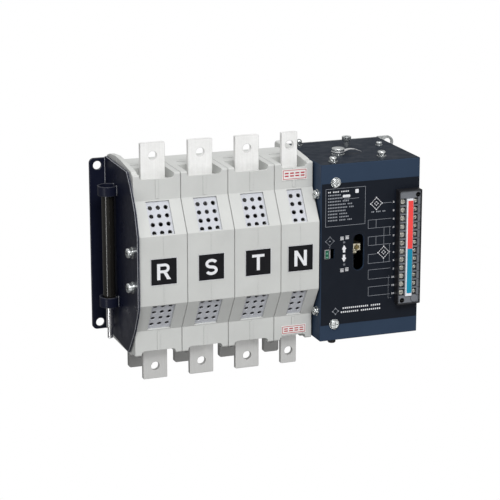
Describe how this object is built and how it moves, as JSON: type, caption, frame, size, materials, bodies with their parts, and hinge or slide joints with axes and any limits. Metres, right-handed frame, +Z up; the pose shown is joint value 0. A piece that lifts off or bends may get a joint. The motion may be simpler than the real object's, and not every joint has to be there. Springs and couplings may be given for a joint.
{
  "type": "automatic transfer switch",
  "caption": "Panel-mounted double-throw transfer switch: side-by-side pole housings with vented slopes, lug terminals above and below, and a control box with lever slot.",
  "frame": {"origin": "centre of the four panel mounting holes, in the plane of the mounting panel", "axes": "+X to the right along the row of poles, +Y into the mounting panel, +Z up; the front faces -Y"},
  "size_m": [0.3422, 0.1185, 0.2497],
  "materials": {
    "housing": "moulded, fine matt texture",
    "vent_panel": "moulded, slightly cooler grey",
    "phase_label": "black label film",
    "source_label": "white label film",
    "tinned_copper": "tin plated, satin",
    "copper": "bare copper with silver pads",
    "chute_steel": "plain steel",
    "bronze": "sintered bronze",
    "zinc_steel": "bright zinc plated",
    "black_steel": "blackened screw",
    "navy_paint": "glossy, almost black navy",
    "box_paint": "satin blue-grey powder coat",
    "overlay_film": "printed matt film",
    "tinned_tag": "tinned strip",
    "black_plastic": "moulded black",
    "grey_plastic": "moulded mid grey",
    "terminal_screw": "nickel plated",
    "white_plastic": "white moulding",
    "red_marker": "red strip",
    "blue_marker": "teal blue strip",
    "bracket_steel": "pressed steel",
    "coil": "black lacquered",
    "circuit_board": "green solder resist",
    "shaft_steel": "turned steel",
    "sleeve_plastic": "thermoset, brown red",
    "lever_steel": "yellow zinc plated",
    "grip": "glossy black",
    "chrome_rod": "bright plated",
    "selector": "green and white knob"
  },
  "bodies": {
    "frame": {"pole_base_r": "housing", "pole_cover_r": "housing", "normal_contact_r": "tinned_copper", "backup_contact_r": "tinned_copper", "load_contact_r": "tinned_copper", "pole_base_s": "housing", "pole_cover_s": "housing", "normal_contact_s": "tinned_copper", "backup_contact_s": "tinned_copper", "load_contact_s": "tinned_copper", "pole_base_t": "housing", "pole_cover_t": "housing", "normal_contact_t": "tinned_copper", "backup_contact_t": "tinned_copper", "load_contact_t": "tinned_copper", "pole_base_n": "housing", "pole_cover_n": "housing", "normal_contact_n": "tinned_copper", "backup_contact_n": "tinned_copper", "load_contact_n": "tinned_copper", "upper_vent_panels": "vent_panel", "lower_vent_panels": "vent_panel", "upper_arc_chutes": "chute_steel", "lower_arc_chutes": "chute_steel", "phase_labels": "phase_label", "source_labels": "source_label", "shaft_bushes": "bronze", "tie_rods": "zinc_steel", "left_end_plate": "navy_paint", "end_plate_screws": "zinc_steel", "box_back_plate": "zinc_steel", "box_cover": "box_paint", "front_overlay": "overlay_film", "cover_screws": "zinc_steel", "top_screws": "zinc_steel", "bottom_screw": "black_steel", "earth_bolt": "zinc_steel", "earth_tag": "tinned_tag", "top_post": "zinc_steel", "terminal_frame": "black_plastic", "terminal_block": "grey_plastic", "terminal_screws": "terminal_screw", "marker_strip": "white_plastic", "red_marker": "red_marker", "blue_marker": "blue_marker", "lever_pivot": "bracket_steel", "solenoid_coil": "coil", "control_board": "circuit_board"},
    "contact_shaft": {"main_shaft": "shaft_steel", "shaft_sleeves": "sleeve_plastic", "crank": "shaft_steel", "moving_contact_r": "copper", "moving_contact_s": "copper", "moving_contact_t": "copper", "moving_contact_n": "copper"},
    "hand_lever": {"manual_lever": "lever_steel"},
    "plunger": {"solenoid_plunger": "shaft_steel"},
    "operating_handle": {"handle_grip": "grip", "handle_rod": "chrome_rod"},
    "selector_knob": {"mode_selector": "selector"}
  },
  "joints": [
    {"name": "shaft_turn", "type": "hinge", "parent": "frame", "child": "contact_shaft", "pos_m": [0, -0.036, -0.003], "axis": [1, 0, 0], "range_deg": [-45, 45]},
    {"name": "lever_swing", "type": "hinge", "parent": "frame", "child": "hand_lever", "pos_m": [0.0841, -0.072, -0.003], "axis": [1, 0, 0], "range_deg": [-14.65, 14.65]},
    {"name": "plunger_stroke", "type": "slide", "parent": "frame", "child": "plunger", "axis": [0, 0, 1], "range_m": [-0.01274, 0.01274]},
    {"name": "handle_lift", "type": "slide", "parent": "frame", "child": "operating_handle", "axis": [0, 0, 1], "range_m": [0, 0.13]},
    {"name": "selector_slide", "type": "slide", "parent": "frame", "child": "selector_knob", "axis": [1, 0, 0], "range_m": [0, 0.0059]}
  ],
  "couplings": [
    {"joint": "lever_swing", "follows": "shaft_turn", "ratio": 0.32538},
    {"joint": "plunger_stroke", "follows": "shaft_turn", "m_per_rad": 0.016206}
  ]
}
